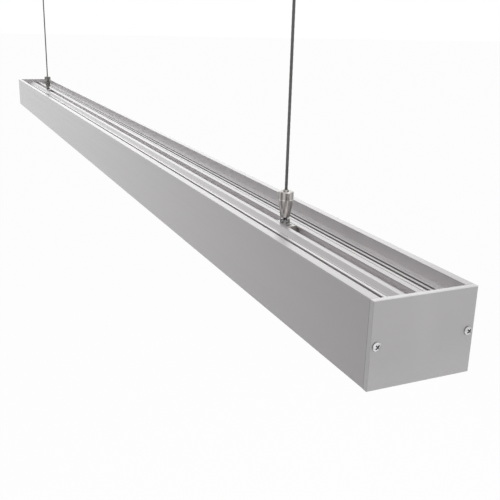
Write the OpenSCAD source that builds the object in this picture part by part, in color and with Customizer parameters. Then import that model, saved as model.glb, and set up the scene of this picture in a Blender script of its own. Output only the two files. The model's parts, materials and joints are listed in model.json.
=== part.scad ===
// Linear pendant light: an aluminium extrusion with a recessed T-slot channel on top, an LED
// engine and driver inside, an opal diffuser below, and two wire hangers that ride in the slot.
// Frame: +X runs along the light towards its near end, +Y across it, +Z up. The origin is on
// the ceiling, midway between the two ceiling fittings.

/* [Light body] */
// Overall length of the light over both end caps
body_length = 1220; // [900:10:1500]
// Overall width of the light
body_width = 60; // [58:1:80]
// Height of the space for the driver, between the T-slot's channel and the LED tray
driver_space = 20.9; // [18:0.1:30]
// Height of the air gap between the LED tray and the diffuser's face
led_gap = 11.6; // [10:0.1:20]
// Thickness of the extrusion's side walls
wall = 1.8; // [1.4:0.1:2.2]
// Width of the flat rim along the top of each side wall
rim_width = 5; // [4.8:0.1:6]
// Thickness of the rim and of the recess's inner side walls
rim_wall = 1.5; // [1.2:0.1:1.7]

/* [Top recess and T-slot] */
// Depth of the recess floor below the rims
recess_depth = 6.3; // [5.8:0.1:7.5]
// Thickness of the recess floor
recess_floor = 2.5; // [2.2:0.1:3]
// Depth of the raised centre deck below the rims
deck_depth = 4.4; // [4:0.1:5]
// Width of the flat top of the raised centre deck
deck_width = 13.4; // [12.6:0.2:15]
// Width of the foot of the deck's sloped shoulders
deck_foot = 19.8; // [19:0.2:22]
// Width of the slot in the deck
slot_width = 6.6; // [6.4:0.1:7.2]
// Thickness of the lips beside the slot
lip = 1.2; // [1:0.1:1.5]
// Width of the T-shaped chamber under the lips
chamber_width = 10.6; // [10.4:0.1:11]
// Height of the T-shaped chamber
chamber_height = 3.1; // [3:0.1:3.6]
// Depth of the drawn grooves in the recess floor
groove_depth = 1.6; // [1:0.1:1.7]

/* [End caps and screws] */
// Thickness of each end cap
cap_thickness = 3; // [2:0.5:4]
// Bevel round the outer face of each end cap
cap_bevel = 0.3; // [0.2:0.1:0.5]
// Distance of each cap screw from the side face
screw_inset = 3.4; // [3.3:0.1:3.8]
// Shank diameter of the cap screws
screw_diameter = 2.9; // [2.5:0.1:3]
// Head diameter of the cap screws
screw_head = 4.6; // [4.4:0.1:5.2]
// Head height of the cap screws
screw_head_height = 1.3; // [1.2:0.1:1.7]
// Length of the cap screws under the head
screw_length = 14; // [10:1:20]

/* [Wire hangers] */
// Distance from each end of the light to its hanger
hanger_inset = 150; // [120:5:250]
// Distance from the ceiling to the light's top plane
ceiling_drop = 175; // [170:1:180]
// Diameter of the suspension wire
wire_diameter = 2; // [1.8:0.1:2.1]
// Outer diameter of the cable gripper
gripper_diameter = 10; // [9.6:0.1:11]
// Height of the cable gripper's body
gripper_height = 17; // [17:0.5:18]
// Height of the gripper's straight upper part
gripper_straight = 5.5; // [5:0.5:7]
// Diameter of the gripper's foot
gripper_foot = 6.2; // [6:0.1:6.6]
// Diameter of the threaded stud under the gripper
stud_diameter = 3; // [2.8:0.1:3.2]
// Width across the flats of the lock nut
lock_nut_flats = 5.5; // [5.2:0.1:6]
// Thickness of the lock nut
lock_nut_height = 2.4; // [2:0.1:2.6]
// Length of stud that shows between the gripper's foot and the lock nut
stud_gap = 1.2; // [0.8:0.1:1.8]
// Thickness of the slot nut's flange under the lips
nut_flange = 2.6; // [2.2:0.1:2.8]
// Length of the slot nut from its stud towards the light's near end
nut_reach = 10; // [9:0.5:14]
// Length of the slot nut from its stud the other way
nut_tail = 6; // [5:0.5:10]
// Travel of the release plunger, which stands this much and a little more above the gripper
plunger_travel = 0.9; // [0.6:0.1:1]

/* [Ceiling fittings] */
// Outer diameter of the ceiling cap
ceiling_cap_diameter = 18; // [17.4:0.2:22]
// Height of the ceiling cap
ceiling_cap_height = 21.5; // [21.5:0.5:24]
// Diameter of the ceiling base that the cap screws onto
base_diameter = 14; // [13:0.5:14]
// Height of the ceiling base
base_height = 9; // [8:0.5:10]
// Diameter of the fixing screw's hole in the base
fixing_hole = 4.5; // [4:0.1:5]
// Diameter of the ball on the wire's upper end
ball_diameter = 5.2; // [5:0.1:5.6]

/* [LED engine and diffuser] */
// Thickness of the LED tray
tray_thickness = 1.5; // [1.2:0.1:2]
// Distance of the LED boards' edges from the tray's ledges
board_inset = 15.7; // [12:0.1:17]
// Thickness of each LED board
board_thickness = 1.2; // [1:0.1:1.6]
// Distance between neighbouring LEDs
led_pitch = 20; // [15:1:30]
// Thickness of the diffuser's face
diffuser_thickness = 1.8; // [1.5:0.1:2.2]
// Thickness of the diffuser's clip legs
clip_leg = 1.2; // [1:0.1:1.4]
// Height of the diffuser's clip legs above its face
clip_height = 5.7; // [5.5:0.1:6.5]

/* [Driver and wiring] */
// Length of the driver's case
driver_length = 240; // [200:5:280]
// Gap between the driver's case and the screw ports beside it
driver_side_gap = 3.7; // [1.7:0.5:6]
// Gap above the driver's case
driver_headroom = 4.9; // [3:0.1:6]
// Distance from the light's far end to the driver's case
driver_inset = 130; // [110:5:200]
// Wall thickness of the driver's case
driver_wall = 1; // [0.8:0.1:1.4]
// Distance from the light's far end to the terminal block
terminal_inset = 40; // [30:1:50]
// Length of the mains terminal block
terminal_length = 26; // [22:1:32]
// Distance from the terminal block to the earth screw
earth_gap = 26; // [24:1:30]
// Distance of the earth screw from the tray's ledge
earth_inset = 9.7; // [7:0.1:12]
// Inner diameter of the cable grommet in the far end cap
grommet_bore = 6.5; // [6:0.5:8]
// Wall of the cable grommet
grommet_wall = 1.75; // [1.5:0.05:2]
// Diameter of the insulated leads inside
lead_diameter = 1.8; // [1.6:0.1:2]

/* [Hidden] */
$fn = 48;

// clearances
slide_gap = 0.05;
side_gap = 0.15;
screw_gap = 0.05;
push_gap = 0.08;
clip_gap = 0.15;
eps = 0.01;

// the light's own levels, as heights in the frame
top_z = -ceiling_drop;
extrusion_length = body_length - 2 * cap_thickness;
extrusion_end = extrusion_length / 2;
half_width = body_width / 2;
inner_half = half_width - wall;
recess_half = half_width - rim_width;
floor_under = recess_depth + recess_floor;
chamber_top = deck_depth + lip;
chamber_bottom = chamber_top + chamber_height;
chamber_under = chamber_bottom + rim_wall;
tray_depth = chamber_under + driver_space;
body_height = tray_depth + tray_thickness + led_gap + diffuser_thickness;
bottom_z = top_z - body_height;
deck_half = deck_width / 2;
foot_half = deck_foot / 2;
slot_half = slot_width / 2;
chamber_half = chamber_width / 2;

// the drawn lines of the recess: [distance from the deck's foot, width, share of the depth]
floor_grooves = [[0.45, 0.5, 0.3], [3.05, 2, 1], [6.8, 1.8, 1], [10.7, 0.5, 0.3]];

// ports for the cap screws, tray ledges and clip ribs on the side walls
port_y = half_width - screw_inset;
port_depth = body_height / 2;
port_bore = screw_diameter / 2 + screw_gap;
port_wall = 1.4;
port_slit = 1.6;
ledge = 2.5;
ledge_thickness = 1.2;
tray_gap = 0.1;
clip_rib = 0.45;
rib_height = 1.2;
rib_depth = body_height - diffuser_thickness - clip_height + 1.5 + clip_gap;

// hangers
hanger_x = body_length / 2 - hanger_inset;
nut_neck_top = deck_depth + 0.2;
nut_flange_top = chamber_top + slide_gap;
lock_nut_z = top_z - nut_neck_top;
foot_z = lock_nut_z + lock_nut_height + stud_gap;
gripper_top = foot_z + gripper_height;
stud_r = stud_diameter / 2;
stud_in_foot = 2.1;
wire_r = wire_diameter / 2;

// inside of the gripper, as depths below its top face
stem_r = wire_r + 0.75;
cage_r = wire_r + 1.2;
wire_bore = wire_r + 0.1;
guide_depth = 2.2;
cone_depth = 6.5;
cone_top_r = cage_r + 0.2;
cone_bottom_r = cage_r + 0.95;
ball_level = 4.6;
clamp_ball_r = 0.85;
clamp_ball_at = wire_r + slide_gap + clamp_ball_r;
plunger_depth = 6.8;
spring_chamber_r = cage_r + 0.45;
spring_bottom = 11.5;
end_chamber_r = wire_r + 0.3;
end_chamber_bottom = gripper_height - stud_in_foot - 0.6;
plunger_stand = plunger_travel + 0.1;
spring_wire_r = 0.2;
spring_r = cage_r - spring_wire_r;
spring_turns = 6;
spring_steps = 12;

// ceiling fittings
ball_r = ball_diameter / 2;
ball_z = -(ceiling_cap_height - 4.7);
cap_floor_z = ball_z - 1.6;
ferrule_r = wire_r + 0.7;
ferrule_height = 5;
wire_top_z = ball_z + 2.8;
wire_bottom_z = gripper_top - end_chamber_bottom + 0.4;
cap_bore_r = base_diameter / 2 + slide_gap;

// the wires hang straight: rings run down each one from its ball to its gripper
wire_rings = 36;
near_wire_route = [for (i = [0:wire_rings - 1])
    [hanger_x, 0, wire_top_z + (wire_bottom_z - wire_top_z) * i / (wire_rings - 1)]];
far_wire_route = [for (p = near_wire_route) [-p.x, p.y, p.z]];

// light engine
tray_z = top_z - tray_depth;
tray_under = tray_z - tray_thickness;
board_z = tray_under - board_thickness;
board_start = 2;
board_margin = 5;
board_length = extrusion_end - board_start - board_margin;
board_width = 2 * (inner_half - ledge - board_inset);
led_size = [3.5, 2.8, 0.8];
led_row = 0.3;
led_count = floor((board_length - led_pitch) / led_pitch) + 1;
diffuser_half = inner_half - clip_gap;
clip_outer = inner_half - clip_rib - clip_gap;

// screws of the light engine
small_screw = 3;
small_head = 5.2;
small_head_height = 1.6;
small_hole_r = small_screw / 2 + screw_gap;
board_screw_length = board_thickness + tray_thickness - tray_gap;
driver_screw_length = 2.6;
earth_screw_diameter = 4;
earth_screw_past = 2.5;
earth_hole_r = earth_screw_diameter / 2 + screw_gap;

// driver and terminals, placed from the light's far end
far_end_x = -body_length / 2;
driver_x = far_end_x + driver_inset;
driver_width = 2 * (port_y - port_bore - port_wall - driver_side_gap);
driver_height = driver_space - driver_headroom;
driver_tab = 12;
driver_tab_thickness = 1.2;
terminal_x = far_end_x + terminal_inset;
terminal_width = 24;
terminal_height = 11;
terminal_pitch = 7.5;
pole_depth = 6;
lead_r = lead_diameter / 2;
led_lead_half = 3;
transformer = [24, 18];
transformer_at = 0.45;
lid_slot = 2;
lid_slot_pitch = 12;
lid_slots = 6;
lead_drop = 1;
lead_rise = 1.5;
lead_z = tray_z + terminal_height / 2 + lead_rise;
driver_lead_z = tray_z + driver_height / 2 - lead_drop;
earth_x = terminal_x + terminal_length + earth_gap;
earth_y = earth_inset + ledge - inner_half;
tag_r = 4.2;
tag_thickness = 0.8;
tag_neck = 6;
barrel_length = 6;
barrel_r = lead_r + 0.5;
grommet_drop = 1.95;
grommet_z = tray_z + driver_space / 2 - grommet_drop;
grommet_lip = 1.5;
lead_hole_gap = 22;
lead_hole_x = driver_x + driver_length + driver_tab + lead_hole_gap;
lead_hole_r = 4;

function unit(v) = v / norm(v);
function ring(p, dir, side, r, n) = let (u = unit(cross(dir, side)), v = cross(dir, u))
    [for (k = [0:n - 1]) p + r * (cos(360 * k / n) * u + sin(360 * k / n) * v)];
function heading(route, i) = unit(
    route[min(i + 1, len(route) - 1)] - route[max(i - 1, 0)]);

// one closed tube of n sides that follows a route; side is never along the route
module tube(route, r, n, side) {
    last = len(route) - 1;
    points = [for (i = [0:last]) each ring(route[i], heading(route, i), side, r, n)];
    walls = [for (i = [0:last - 1], k = [0:n - 1]) let (a = i * n + k, b = i * n + (k + 1) % n)
        each [[a, a + n, b + n], [a, b + n, b]]];
    start = [for (k = [1:n - 2]) [0, k, k + 1]];
    end = [for (k = [1:n - 2]) [last * n, last * n + k + 1, last * n + k]];
    polyhedron(points, concat(walls, start, end));
}

module at_near() translate([hanger_x, 0, 0]) children();
module at_far() translate([-hanger_x, 0, 0]) children();
module both_sides() {
    children();
    mirror([1, 0]) children();
}
// stands a cross-section, drawn with y to the right and height upwards, along X
module along_x(from, length) translate([from, 0, top_z])
    rotate([90, 0, 90]) linear_extrude(length) children();

// half of the extrusion's cross-section, to the right of the centre line
module wall_and_rim() {
    translate([inner_half, -body_height]) square([wall, body_height]);
    translate([recess_half, -rim_wall]) square([rim_width, rim_wall]);
    translate([recess_half, -floor_under]) square([rim_wall, floor_under]);
}
module recess_floor_half() difference() {
    translate([foot_half - rim_wall, -floor_under])
        square([inner_half - foot_half + rim_wall + eps, recess_floor]);
    for (g = floor_grooves)
        translate([foot_half + g[0], -recess_depth - groove_depth * g[2]])
            square([g[1], groove_depth * g[2] + eps]);
}
// the whole deck with its sloped shoulders, round the T-shaped chamber and the slot
module deck_section() difference() {
    union() {
        polygon([[-foot_half, -floor_under], [foot_half, -floor_under],
            [foot_half, -recess_depth], [deck_half, -deck_depth],
            [-deck_half, -deck_depth], [-foot_half, -recess_depth]]);
        translate([-chamber_half - rim_wall, -chamber_under])
            square([chamber_width + 2 * rim_wall, chamber_under - chamber_top]);
    }
    translate([-chamber_half, -chamber_bottom]) square([chamber_width, chamber_height]);
    translate([-slot_half, -chamber_top - eps]) square([slot_width, lip + 2 * eps]);
}
module screw_port() difference() {
    union() {
        translate([port_y, -port_depth]) circle(port_bore + port_wall);
        translate([port_y, -port_depth - port_bore - port_wall])
            square([inner_half - port_y + eps, 2 * (port_bore + port_wall)]);
    }
    translate([port_y, -port_depth]) circle(port_bore);
    translate([port_y - port_bore - port_wall - eps, -port_depth - port_slit / 2])
        square([port_bore + port_wall, port_slit]);
}
module ledges() {
    for (depth = [tray_depth + tray_thickness + ledge_thickness, tray_depth - tray_gap])
        translate([inner_half - ledge, -depth]) square([ledge + eps, ledge_thickness]);
    translate([inner_half - clip_rib, -rib_depth - rib_height])
        square([clip_rib + eps, rib_height]);
}
module body_extrusion() color("silver") along_x(-extrusion_end, extrusion_length) difference() {
    union() {
        deck_section();
        both_sides() {
            wall_and_rim();
            recess_floor_half();
            screw_port();
            ledges();
        }
    }
    // the screw ports' bores stay clear of the side walls
    both_sides() translate([port_y, -port_depth]) circle(port_bore);
}

// end caps, drawn at the near end with the outer face at x = body_length / 2
module cap_plate() difference() {
    hull() {
        translate([extrusion_end, -half_width, bottom_z])
            cube([cap_thickness - cap_bevel, body_width, body_height]);
        translate([extrusion_end, cap_bevel - half_width, bottom_z + cap_bevel])
            cube([cap_thickness, body_width - 2 * cap_bevel, body_height - 2 * cap_bevel]);
    }
    for (side = [-1, 1]) cap_screw_bore(side);
}
module cap_screw_bore(side) translate([extrusion_end - eps, side * port_y, top_z - port_depth])
    rotate([0, 90, 0]) cylinder(r = screw_diameter / 2 + 0.15, h = cap_thickness + 2 * eps);
module grommet_hole() translate([-extrusion_end - cap_thickness - eps, 0, grommet_z])
    rotate([0, 90, 0])
        cylinder(r = grommet_bore / 2 + grommet_wall, h = cap_thickness + 2 * eps);
module near_end_cap() color("darkgray") cap_plate();
module far_end_cap() color("darkgray") difference() {
    mirror([1, 0, 0]) cap_plate();
    grommet_hole();
}

// pan head on its seat at z = 0, shank downwards, with a cross recess
module cross_screw(shank, length, head, height) difference() {
    union() {
        translate([0, 0, -length]) cylinder(d = shank, h = length);
        intersection() {
            cylinder(d = head, h = height);
            translate([0, 0, height - head * 0.8]) sphere(head * 0.8);
        }
    }
    for (turn = [45, 135]) translate([0, 0, height * 0.8]) rotate([0, 0, turn])
        cube([head * 0.62, head * 0.16, height], center = true);
}
module cap_screws() for (side = [-1, 1])
    translate([body_length / 2, side * port_y, top_z - port_depth]) rotate([0, 90, 0])
        cross_screw(screw_diameter, screw_length, screw_head, screw_head_height);
module near_cap_screws() color("gainsboro") cap_screws();
module far_cap_screws() color("gainsboro") mirror([1, 0, 0]) cap_screws();

// diffuser: a flush opal face with two barbed clip legs
module diffuser_half_section() {
    translate([-eps, -body_height]) square([diffuser_half + eps, diffuser_thickness]);
    translate([clip_outer - clip_leg, -body_height + diffuser_thickness - eps])
        square([clip_leg, clip_height + eps]);
    translate([clip_outer - eps, -body_height + diffuser_thickness + clip_height])
        polygon([[0, 0], [0, -1.5], [clip_rib, -1.5], [clip_rib, -0.9]]);
}
module diffuser() color("white")
    along_x(-extrusion_end + slide_gap, extrusion_length - 2 * slide_gap)
        both_sides() diffuser_half_section();

// LED tray, boards and their parts
module tray_holes() {
    for (x = board_screw_places()) translate([x, 0, tray_under - eps])
        cylinder(r = small_hole_r, h = tray_thickness + 2 * eps);
    translate([lead_hole_x, 0, tray_under - eps])
        cylinder(r = lead_hole_r, h = tray_thickness + 2 * eps);
    for (x = driver_screw_places()) translate([x, 0, tray_under - eps])
        cylinder(r = small_hole_r, h = tray_thickness + 2 * eps);
    translate([earth_x, earth_y, tray_under - eps])
        cylinder(r = earth_hole_r, h = tray_thickness + 2 * eps);
}
module led_tray() color("lightgray") difference() {
    translate([-extrusion_end + slide_gap, side_gap - inner_half, tray_under])
        cube([extrusion_length - 2 * slide_gap, body_width - 2 * wall - 2 * side_gap,
            tray_thickness]);
    tray_holes();
}
function board_screw_places() = [for (end = [-1, 1], share = [0.03, 0.5, 0.97])
    end * (board_start + board_length * share)];
function driver_screw_places() = [driver_x - driver_tab / 2,
    driver_x + driver_length + driver_tab / 2];
module led_boards() color("ghostwhite") difference() {
    for (end = [0, 1]) mirror([end, 0, 0]) translate([board_start, -board_width / 2, board_z])
        cube([board_length, board_width, board_thickness]);
    for (x = board_screw_places()) translate([x, 0, board_z - eps])
        cylinder(r = small_hole_r, h = board_thickness + 2 * eps);
    translate([lead_hole_x, 0, board_z - eps])
        cylinder(r = lead_hole_r, h = board_thickness + 2 * eps);
}
module led_chips() color("khaki")
    for (end = [0, 1], i = [0:led_count - 1], row = [-1, 1]) mirror([end, 0, 0])
        translate([board_start + led_pitch * (i + 0.5), row * board_width * led_row,
            board_z - led_size.z / 2]) cube(led_size, center = true);
module board_screws() color("gainsboro") for (x = board_screw_places())
    translate([x, 0, board_z]) mirror([0, 0, 1])
        cross_screw(small_screw, board_screw_length, small_head, small_head_height);

// driver: an open tray-shaped case, a lid and the circuit board between them
module driver_case() color("white") difference() {
    union() {
        translate([driver_x, -driver_width / 2, tray_z])
            cube([driver_length, driver_width, driver_height - driver_wall]);
        translate([driver_x - driver_tab, -driver_width / 4, tray_z])
            cube([driver_length + 2 * driver_tab, driver_width / 2, driver_tab_thickness]);
    }
    translate([driver_x + driver_wall, driver_wall - driver_width / 2, tray_z + driver_wall])
        cube([driver_length - 2 * driver_wall, driver_width - 2 * driver_wall, driver_height]);
    for (x = driver_screw_places()) translate([x, 0, tray_z - eps])
        cylinder(r = small_hole_r, h = driver_tab_thickness + 2 * eps);
    for (lead = [-1, 1]) translate([driver_x - eps, lead * terminal_pitch, driver_lead_z])
        rotate([0, 90, 0]) cylinder(r = lead_r + side_gap, h = driver_wall + 2 * eps);
    for (lead = [-1, 1]) translate([driver_x + driver_length - driver_wall - eps,
        lead * led_lead_half, driver_lead_z])
        rotate([0, 90, 0]) cylinder(r = lead_r + side_gap, h = driver_wall + 2 * eps);
}
module driver_cover() color("whitesmoke") difference() {
    translate([driver_x, -driver_width / 2, tray_z + driver_height - driver_wall])
        cube([driver_length, driver_width, driver_wall]);
    for (i = [-lid_slots:lid_slots])
        translate([driver_x + driver_length / 2 + i * lid_slot_pitch, -driver_width / 4,
            tray_z + driver_height - driver_wall - eps])
            cube([lid_slot, driver_width / 2, driver_wall + 2 * eps]);
}
module driver_board() color("darkgreen") {
    length = driver_length - 2 * driver_wall - 16;
    width = driver_width - 2 * driver_wall - 4;
    floor_z = tray_z + driver_wall;
    room = driver_height - 2 * driver_wall;
    translate([driver_x + driver_wall + 8, -width / 2, floor_z])
        cube([length, width, 1.6]);
    translate([driver_x + driver_length * transformer_at, -transformer.y / 2,
        floor_z + 1.6 - eps]) cube([transformer.x, transformer.y, room - 3]);
    for (place = [0.16, 0.72]) translate([driver_x + driver_length * place, 5, floor_z + 1.6 - eps])
        cylinder(r = 5, h = room - 3.2);
    for (place = [0.28, 0.62, 0.84])
        translate([driver_x + driver_length * place, -12, floor_z + 1.6 - eps])
            cube([9, 6, room - 5]);
}
module driver_screws() color("gainsboro") for (x = driver_screw_places())
    translate([x, 0, tray_z + driver_tab_thickness])
        cross_screw(small_screw, driver_screw_length, small_head, small_head_height);

// terminal block with three poles along Y, wired from both ends
module pole_holes(x) for (pole = [-1, 0, 1]) translate([x, pole * terminal_pitch, lead_z])
    rotate([0, 90, 0]) cylinder(r = lead_r + side_gap, h = pole_depth + eps);
module terminal_block() color("ivory") difference() {
    translate([terminal_x, -terminal_width / 2, tray_z])
        cube([terminal_length, terminal_width, terminal_height]);
    pole_holes(terminal_x - eps);
    pole_holes(terminal_x + terminal_length - pole_depth);
    for (pole = [-1, 0, 1], end = [0.25, 0.75])
        translate([terminal_x + terminal_length * end, pole * terminal_pitch,
            tray_z + terminal_height - 2]) cylinder(r = 1.8, h = 3);
    for (gap = [-0.5, 0.5])
        translate([terminal_x - eps, gap * terminal_pitch - 0.4, tray_z + terminal_height - 2])
            cube([terminal_length + 2 * eps, 0.8, 3]);
}
module terminal_screws() color("gainsboro") for (pole = [-1, 0, 1], end = [0.25, 0.75])
    translate([terminal_x + terminal_length * end, pole * terminal_pitch,
        tray_z + terminal_height - 2]) difference() {
        cylinder(r = 1.6, h = 1.4);
        translate([-2, -0.25, 0.8]) cube([4, 0.5, 1]);
    }
module earth_screw() color("gold") translate([earth_x, earth_y, tray_z + tag_thickness])
    cross_screw(earth_screw_diameter, tag_thickness + tray_thickness + earth_screw_past, 7, 2.4);
// ring tag under the earth screw's head, with the barrel that is crimped on the lead
module earth_tag() color("lightgray") translate([earth_x, earth_y, tray_z]) difference() {
    union() {
        cylinder(r = tag_r, h = tag_thickness);
        translate([-tag_neck - 1, -barrel_r, 0]) cube([tag_neck + 1, 2 * barrel_r, tag_thickness]);
        translate([-tag_neck - barrel_length, 0, barrel_r])
            rotate([0, 90, 0]) cylinder(r = barrel_r, h = barrel_length);
    }
    translate([0, 0, -eps]) cylinder(r = earth_hole_r, h = tag_thickness + 2 * eps);
    translate([-tag_neck - barrel_length - eps, 0, barrel_r])
        rotate([0, 90, 0]) cylinder(r = lead_r + slide_gap, h = barrel_length + 2 * eps);
}
module cable_grommet() color("dimgray") translate([-body_length / 2, 0, grommet_z])
    rotate([0, 90, 0]) rotate_extrude() {
        translate([grommet_bore / 2, -grommet_lip])
            square([grommet_wall, cap_thickness + 2 * grommet_lip]);
        for (face = [-grommet_lip, cap_thickness]) translate([grommet_bore / 2, face])
            square([grommet_wall + 1.5, grommet_lip]);
    }

// leads inside the light, routed clear of the case and the tray
module lead(route) tube(route, lead_r, 8, [0, 1, 0]);
lead_start = terminal_x + terminal_length - pole_depth;
module supply_leads() color("saddlebrown") for (pole = [-1, 1]) lead([
    [lead_start + 0.5, pole * terminal_pitch, lead_z],
    [terminal_x + terminal_length + 4, pole * terminal_pitch, lead_z],
    [terminal_x + terminal_length + 16, pole * terminal_pitch, lead_z + lead_rise],
    [driver_x - driver_tab - 10, pole * terminal_pitch, driver_lead_z + lead_rise],
    [driver_x - 4, pole * terminal_pitch, driver_lead_z],
    [driver_x + driver_wall + 4, pole * terminal_pitch, driver_lead_z]
]);
module earth_lead() color("yellowgreen") {
    lead([
        [lead_start + 0.5, 0, lead_z],
        [terminal_x + terminal_length + 4, 0, lead_z],
        [terminal_x + terminal_length + 7, earth_y * 0.2, lead_z - 1],
        [earth_x - tag_neck - barrel_length - 6, earth_y * 0.9, tray_z + barrel_r + 1.5],
        [earth_x - tag_neck - barrel_length - 1, earth_y, tray_z + barrel_r],
        [earth_x - tag_neck - 1, earth_y, tray_z + barrel_r]
    ]);
}
module led_leads() color("firebrick") for (pole = [-1, 1]) lead([
    [driver_x + driver_length - driver_wall - 4, pole * led_lead_half, driver_lead_z],
    [driver_x + driver_length + 5, pole * led_lead_half, driver_lead_z],
    [lead_hole_x - 12, pole * 2.4, tray_z + (driver_lead_z - tray_z) * 0.91],
    [lead_hole_x - 5, pole * 2, tray_z + (driver_lead_z - tray_z) * 0.66],
    [lead_hole_x - 1.2, pole * 2, tray_z + (driver_lead_z - tray_z) * 0.2],
    [lead_hole_x, pole * 2, tray_z - 0.2],
    [lead_hole_x, pole * 2, board_z + 0.3]
]);

// hanger parts, drawn on the Z axis
module slot_nut() difference() {
    union() {
        translate([-nut_tail, side_gap - slot_half, top_z - nut_flange_top - eps])
            cube([nut_tail + nut_reach, slot_width - 2 * side_gap,
                nut_flange_top - nut_neck_top + eps]);
        translate([-nut_tail, -chamber_half + 2 * side_gap,
            top_z - nut_flange_top - nut_flange])
            cube([nut_tail + nut_reach, chamber_width - 4 * side_gap, nut_flange]);
    }
    translate([0, 0, top_z - chamber_bottom])
        cylinder(r = stud_r + screw_gap, h = chamber_bottom);
    translate([grub_at(), 0, top_z - chamber_bottom])
        cylinder(r = 1.5 + screw_gap, h = chamber_bottom);
}
function grub_at() = nut_reach - 3.3;
module grub_screw() translate([grub_at(), 0, 0]) difference() {
    translate([0, 0, top_z - chamber_bottom + slide_gap])
        cylinder(r = 1.5, h = chamber_bottom - nut_neck_top - 0.3);
    translate([0, 0, top_z - nut_neck_top - 1.8])
        cylinder(r = 0.85, h = 3, $fn = 6);
}
module stud() translate([0, 0, top_z - nut_flange_top - nut_flange + 0.1])
    cylinder(r = stud_r, h = foot_z + stud_in_foot - 0.1 - top_z + nut_flange_top
        + nut_flange - 0.1);
module lock_nut() difference() {
    intersection() {
        translate([0, 0, lock_nut_z])
            cylinder(d = lock_nut_flats / cos(30), h = lock_nut_height, $fn = 6);
        translate([0, 0, lock_nut_z + lock_nut_height / 2]) rotate_extrude() polygon([
            [0, -lock_nut_height / 2], [lock_nut_flats / 2 + 0.1, -lock_nut_height / 2],
            [lock_nut_flats / 2 + 0.6, 0.3 - lock_nut_height / 2],
            [lock_nut_flats / 2 + 0.6, lock_nut_height / 2 - 0.3],
            [lock_nut_flats / 2 + 0.1, lock_nut_height / 2], [0, lock_nut_height / 2]
        ]);
    }
    translate([0, 0, lock_nut_z - eps])
        cylinder(r = stud_r + screw_gap, h = lock_nut_height + 2 * eps);
}
// the gripper's outer form and its stepped bore, as half outlines of revolution
module gripper_outline() polygon([
    [0, -gripper_height], [gripper_foot / 2 - 0.3, -gripper_height],
    [gripper_foot / 2, 0.3 - gripper_height],
    [gripper_diameter / 2, -gripper_straight],
    [gripper_diameter / 2, -0.5], [gripper_diameter / 2 - 0.5, 0], [0, 0]
]);
module gripper_bore() polygon([
    [0, eps], [stem_r + push_gap, eps], [stem_r + push_gap, -guide_depth],
    [cone_top_r, -guide_depth], [cone_bottom_r, -cone_depth],
    [spring_chamber_r, -cone_depth - 0.5], [spring_chamber_r, -spring_bottom],
    [end_chamber_r, -spring_bottom], [end_chamber_r, -end_chamber_bottom],
    [0, -end_chamber_bottom]
]);
module gripper_body() translate([0, 0, gripper_top]) difference() {
    rotate_extrude() gripper_outline();
    rotate_extrude() gripper_bore();
    translate([0, 0, -gripper_height - eps])
        cylinder(r = stud_r + screw_gap, h = stud_in_foot + eps);
    // the wire's side exit, on the face away from the near side
    translate([0, 0, -spring_bottom - 0.9]) rotate([-120, 0, 0])
        cylinder(r = wire_r + 0.2, h = gripper_diameter);
}
module plunger() translate([0, 0, gripper_top]) difference() {
    rotate_extrude() polygon([
        [wire_bore, -plunger_depth], [cage_r, -plunger_depth],
        [cage_r, -guide_depth - slide_gap], [stem_r, -guide_depth - slide_gap],
        [stem_r, plunger_stand - 0.2], [stem_r - 0.2, plunger_stand],
        [wire_bore, plunger_stand]
    ]);
    for (turn = [0, 120, 240]) rotate([0, 0, turn]) translate([0, 0, -ball_level])
        rotate([0, 90, 0]) cylinder(r = clamp_ball_r + push_gap, h = gripper_diameter);
}
module clamp_balls() for (turn = [0, 120, 240])
    rotate([0, 0, turn]) translate([clamp_ball_at, 0, gripper_top - ball_level])
        sphere(clamp_ball_r);
module plunger_spring() {
    top = gripper_top - plunger_depth - spring_wire_r - slide_gap;
    bottom = gripper_top - spring_bottom + spring_wire_r + slide_gap;
    count = spring_turns * spring_steps;
    tube([for (i = [0:count]) [spring_r * cos(360 * i / spring_steps),
        spring_r * sin(360 * i / spring_steps), top + (bottom - top) * i / count]],
        spring_wire_r, 6, [0, 0, 1]);
}
module wire_ball() difference() {
    union() {
        translate([0, 0, ball_z]) sphere(ball_r);
        translate([0, 0, ball_z]) cylinder(r = ferrule_r, h = ferrule_height);
    }
    translate([0, 0, ball_z - ball_r - 1])
        cylinder(r = wire_r + screw_gap, h = wire_top_z - ball_z + ball_r + 1);
}
module ceiling_base() difference() {
    rotate_extrude() polygon([
        [0, 0], [base_diameter / 2, 0], [base_diameter / 2, 0.6 - base_height],
        [base_diameter / 2 - 0.6, -base_height], [0, -base_height]
    ]);
    translate([0, 0, -base_height - eps]) cylinder(d = fixing_hole, h = base_height + 2 * eps);
    // countersink for the fixing screw's head
    translate([0, 0, -base_height - eps])
        cylinder(r1 = fixing_hole / 2 + 2.2, r2 = fixing_hole / 2, h = 2.2);
}
module ceiling_cap() difference() {
    rotate_extrude() polygon([
        [0, -ceiling_cap_height], [4.6, -ceiling_cap_height], [5, 0.4 - ceiling_cap_height],
        [ceiling_cap_diameter / 2, -ceiling_cap_height + 7],
        [ceiling_cap_diameter / 2, -0.8], [ceiling_cap_diameter / 2 - 0.4, -0.4], [0, -0.4]
    ]);
    rotate_extrude() polygon([
        [0, 0], [cap_bore_r, 0], [cap_bore_r, cap_floor_z + 5.4], [4, cap_floor_z],
        [0, cap_floor_z]
    ]);
    translate([0, 0, ball_z]) sphere(ball_r + slide_gap);
    translate([0, 0, -ceiling_cap_height - eps])
        cylinder(r1 = wire_r + 1.25, r2 = wire_r + 0.65, h = ceiling_cap_height + ball_z - 2.4);
    translate([0, 0, -ceiling_cap_height]) cylinder(r = wire_r + 0.65, h = 3);
}

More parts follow.
